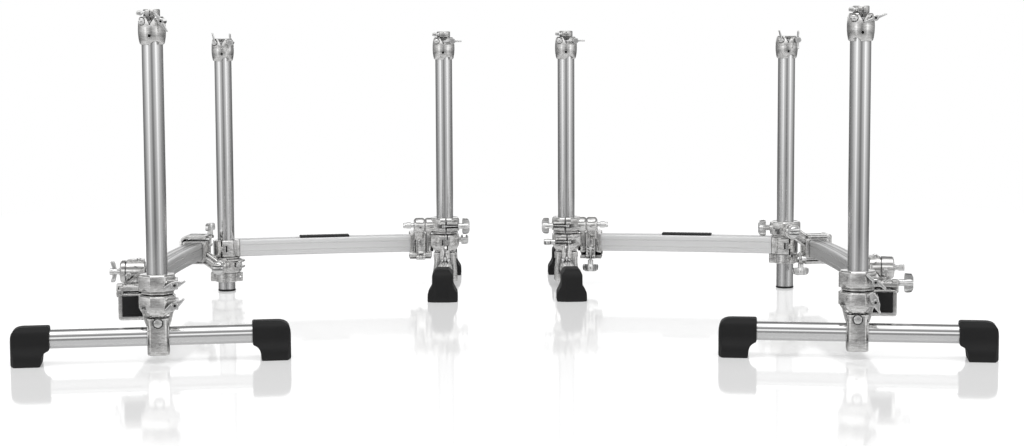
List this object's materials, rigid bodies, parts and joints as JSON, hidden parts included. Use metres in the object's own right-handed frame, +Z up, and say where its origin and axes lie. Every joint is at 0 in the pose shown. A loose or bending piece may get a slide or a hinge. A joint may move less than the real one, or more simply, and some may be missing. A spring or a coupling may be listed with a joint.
{
  "type": "drum rack frame",
  "caption": "Low free-standing drum rack in two mirrored halves: chromed uprights with split heads, bent square bars in rail clamps, and T-shaped legs with rubber feet.",
  "frame": {"origin": "on the floor, under the middle of the pair's overall width and depth", "axes": "+X to the player's right, +Y away from the player towards the front bars, +Z up"},
  "size_m": [1.7962, 1.2872, 0.6403],
  "materials": {
    "chrome": "polished chrome plate on steel",
    "casting": "die-cast clamp metal, satin polished and plated",
    "bar_aluminium": "pale satin anodised extrusion",
    "foot_rubber": "matte black moulded rubber",
    "black_plastic": "matte black moulded plastic"
  },
  "bodies": {
    "root": {"left_outer_rail_clamp": "casting", "left_side_bar": "bar_aluminium", "left_corner_upright": "chrome", "left_corner_head": "casting", "left_corner_tube_cap": "black_plastic", "left_corner_rail_clamp": "casting", "left_corner_memory_collar": "casting", "right_outer_rail_clamp": "casting", "right_side_bar": "bar_aluminium", "right_corner_upright": "chrome", "right_corner_head": "casting", "right_corner_tube_cap": "black_plastic", "right_corner_rail_clamp": "casting", "right_corner_memory_collar": "casting"},
    "left_outer_post": {"left_outer_upright": "chrome", "left_outer_head": "casting"},
    "left_outer_head_wing": {"left_outer_head_wing": "chrome"},
    "left_outer_memory_lock": {"left_outer_memory_lock": "casting"},
    "left_outer_rail_wing": {"left_outer_rail_wing": "chrome"},
    "left_outer_leg": {"left_outer_leg_casting": "casting"},
    "left_outer_foot": {"left_outer_foot_block": "casting", "left_outer_foot_tube": "chrome", "left_outer_foot_rubber_outboard": "foot_rubber", "left_outer_foot_rubber_inboard": "foot_rubber"},
    "left_corner_head_wing": {"left_corner_head_wing": "chrome"},
    "left_front_wing": {"left_corner_bar_ring": "casting", "left_front_bar": "bar_aluminium"},
    "left_inner_clamp": {"left_inner_rail_clamp": "casting"},
    "left_inner_post": {"left_inner_upright": "chrome", "left_inner_head": "casting"},
    "left_inner_head_wing": {"left_inner_head_wing": "chrome"},
    "left_inner_memory_lock": {"left_inner_memory_lock": "casting"},
    "left_inner_leg": {"left_inner_leg_casting": "casting"},
    "left_inner_foot": {"left_inner_foot_block": "casting", "left_inner_foot_tube": "chrome", "left_inner_foot_rubber_front": "foot_rubber", "left_inner_foot_rubber_rear": "foot_rubber"},
    "right_outer_post": {"right_outer_upright": "chrome", "right_outer_head": "casting"},
    "right_outer_head_wing": {"right_outer_head_wing": "chrome"},
    "right_outer_memory_lock": {"right_outer_memory_lock": "casting"},
    "right_outer_rail_wing": {"right_outer_rail_wing": "chrome"},
    "right_outer_leg": {"right_outer_leg_casting": "casting"},
    "right_outer_foot": {"right_outer_foot_block": "casting", "right_outer_foot_tube": "chrome", "right_outer_foot_rubber_outboard": "foot_rubber", "right_outer_foot_rubber_inboard": "foot_rubber"},
    "right_corner_head_wing": {"right_corner_head_wing": "chrome"},
    "right_front_wing": {"right_corner_bar_ring": "casting", "right_front_bar": "bar_aluminium"},
    "right_inner_clamp": {"right_inner_rail_clamp": "casting"},
    "right_inner_post": {"right_inner_upright": "chrome", "right_inner_head": "casting"},
    "right_inner_head_wing": {"right_inner_head_wing": "chrome"},
    "right_inner_memory_lock": {"right_inner_memory_lock": "casting"},
    "right_inner_leg": {"right_inner_leg_casting": "casting"},
    "right_inner_foot": {"right_inner_foot_block": "casting", "right_inner_foot_tube": "chrome", "right_inner_foot_rubber_front": "foot_rubber", "right_inner_foot_rubber_rear": "foot_rubber"}
  },
  "joints": [
    {"name": "left_outer_post_slide", "type": "slide", "parent": "root", "child": "left_outer_post", "axis": [0, 0, 1], "range_m": [0, 0.025]},
    {"name": "left_outer_head_wing_spin", "type": "hinge", "parent": "left_outer_post", "child": "left_outer_head_wing", "pos_m": [-0.61106, -0.58746, 0.6185], "axis": [0, 1, 0], "continuous": true},
    {"name": "left_outer_memory_lock_turn", "type": "hinge", "parent": "left_outer_post", "child": "left_outer_memory_lock", "pos_m": [-0.63206, -0.57416, 0.6273], "axis": [0, 0, 1], "range_deg": [-60, 60]},
    {"name": "left_outer_rail_wing_spin", "type": "hinge", "parent": "root", "child": "left_outer_rail_wing", "pos_m": [-0.60029, -0.59696, 0.1435], "axis": [-0.1495, 0.9888, 0], "continuous": true},
    {"name": "left_outer_leg_swivel", "type": "hinge", "parent": "root", "child": "left_outer_leg", "pos_m": [-0.63206, -0.57416, 0.106], "axis": [0, 0, 1], "range_deg": [-25, 25]},
    {"name": "left_outer_foot_tilt", "type": "hinge", "parent": "left_outer_leg", "child": "left_outer_foot", "pos_m": [-0.63206, -0.57416, 0.0733], "axis": [-0.1392, 0.9903, 0], "range_deg": [-3.5, 3.5]},
    {"name": "left_corner_head_wing_spin", "type": "hinge", "parent": "root", "child": "left_corner_head_wing", "pos_m": [-0.60996, 0.33739, 0.5645], "axis": [0, 1, 0], "continuous": true},
    {"name": "left_front_wing_swing", "type": "hinge", "parent": "root", "child": "left_front_wing", "pos_m": [-0.63096, 0.35069, 0.098], "axis": [0, 0, 1], "range_deg": [-10, 10]},
    {"name": "left_inner_clamp_travel", "type": "hinge", "parent": "left_front_wing", "child": "left_inner_clamp", "pos_m": [0.10983, -2.4531, 0.098], "axis": [0, 0, -1], "range_deg": [-0.12, 0.3]},
    {"name": "left_inner_post_slide", "type": "slide", "parent": "left_inner_clamp", "child": "left_inner_post", "axis": [0, 0, 1], "range_m": [0, 0.025]},
    {"name": "left_inner_head_wing_spin", "type": "hinge", "parent": "left_inner_post", "child": "left_inner_head_wing", "pos_m": [-0.11247, 0.37774, 0.5645], "axis": [0, 1, 0], "continuous": true},
    {"name": "left_inner_memory_lock_turn", "type": "hinge", "parent": "left_inner_post", "child": "left_inner_memory_lock", "pos_m": [-0.13347, 0.39104, 0.5733], "axis": [0, 0, 1], "range_deg": [-60, 60]},
    {"name": "left_inner_leg_swivel", "type": "hinge", "parent": "left_inner_clamp", "child": "left_inner_leg", "pos_m": [-0.13347, 0.39104, 0.106], "axis": [0, 0, 1], "range_deg": [-10, 10]},
    {"name": "left_inner_foot_tilt", "type": "hinge", "parent": "left_inner_leg", "child": "left_inner_foot", "pos_m": [-0.13347, 0.39104, 0.0733], "axis": [-1, 0, 0], "range_deg": [-3.5, 3.5]},
    {"name": "right_outer_post_slide", "type": "slide", "parent": "root", "child": "right_outer_post", "axis": [0, 0, 1], "range_m": [0, 0.025]},
    {"name": "right_outer_head_wing_spin", "type": "hinge", "parent": "right_outer_post", "child": "right_outer_head_wing", "pos_m": [0.66494, -0.58746, 0.6185], "axis": [0, 1, 0], "continuous": true},
    {"name": "right_outer_memory_lock_turn", "type": "hinge", "parent": "right_outer_post", "child": "right_outer_memory_lock", "pos_m": [0.64394, -0.57416, 0.6273], "axis": [0, 0, 1], "range_deg": [-60, 60]},
    {"name": "right_outer_rail_wing_spin", "type": "hinge", "parent": "root", "child": "right_outer_rail_wing", "pos_m": [0.66754, -0.60534, 0.1435], "axis": [0.1495, 0.9888, 0], "continuous": true},
    {"name": "right_outer_leg_swivel", "type": "hinge", "parent": "root", "child": "right_outer_leg", "pos_m": [0.64394, -0.57416, 0.106], "axis": [0, 0, 1], "range_deg": [-25, 25]},
    {"name": "right_outer_foot_tilt", "type": "hinge", "parent": "right_outer_leg", "child": "right_outer_foot", "pos_m": [0.64394, -0.57416, 0.0733], "axis": [0.1392, 0.9903, 0], "range_deg": [-3.5, 3.5]},
    {"name": "right_corner_head_wing_spin", "type": "hinge", "parent": "root", "child": "right_corner_head_wing", "pos_m": [0.66385, 0.33739, 0.5645], "axis": [0, 1, 0], "continuous": true},
    {"name": "right_front_wing_swing", "type": "hinge", "parent": "root", "child": "right_front_wing", "pos_m": [0.64285, 0.35069, 0.098], "axis": [0, 0, 1], "range_deg": [-10, 10]},
    {"name": "right_inner_clamp_travel", "type": "hinge", "parent": "right_front_wing", "child": "right_inner_clamp", "pos_m": [-0.09794, -2.4531, 0.098], "axis": [0, 0, 1], "range_deg": [-0.12, 0.3]},
    {"name": "right_inner_post_slide", "type": "slide", "parent": "right_inner_clamp", "child": "right_inner_post", "axis": [0, 0, 1], "range_m": [0, 0.025]},
    {"name": "right_inner_head_wing_spin", "type": "hinge", "parent": "right_inner_post", "child": "right_inner_head_wing", "pos_m": [0.16635, 0.37774, 0.5645], "axis": [0, 1, 0], "continuous": true},
    {"name": "right_inner_memory_lock_turn", "type": "hinge", "parent": "right_inner_post", "child": "right_inner_memory_lock", "pos_m": [0.14535, 0.39104, 0.5733], "axis": [0, 0, 1], "range_deg": [-60, 60]},
    {"name": "right_inner_leg_swivel", "type": "hinge", "parent": "right_inner_clamp", "child": "right_inner_leg", "pos_m": [0.14535, 0.39104, 0.106], "axis": [0, 0, 1], "range_deg": [-10, 10]},
    {"name": "right_inner_foot_tilt", "type": "hinge", "parent": "right_inner_leg", "child": "right_inner_foot", "pos_m": [0.14535, 0.39104, 0.0733], "axis": [0.9998, 0.0174, 0], "range_deg": [-3.5, 3.5]}
  ]
}
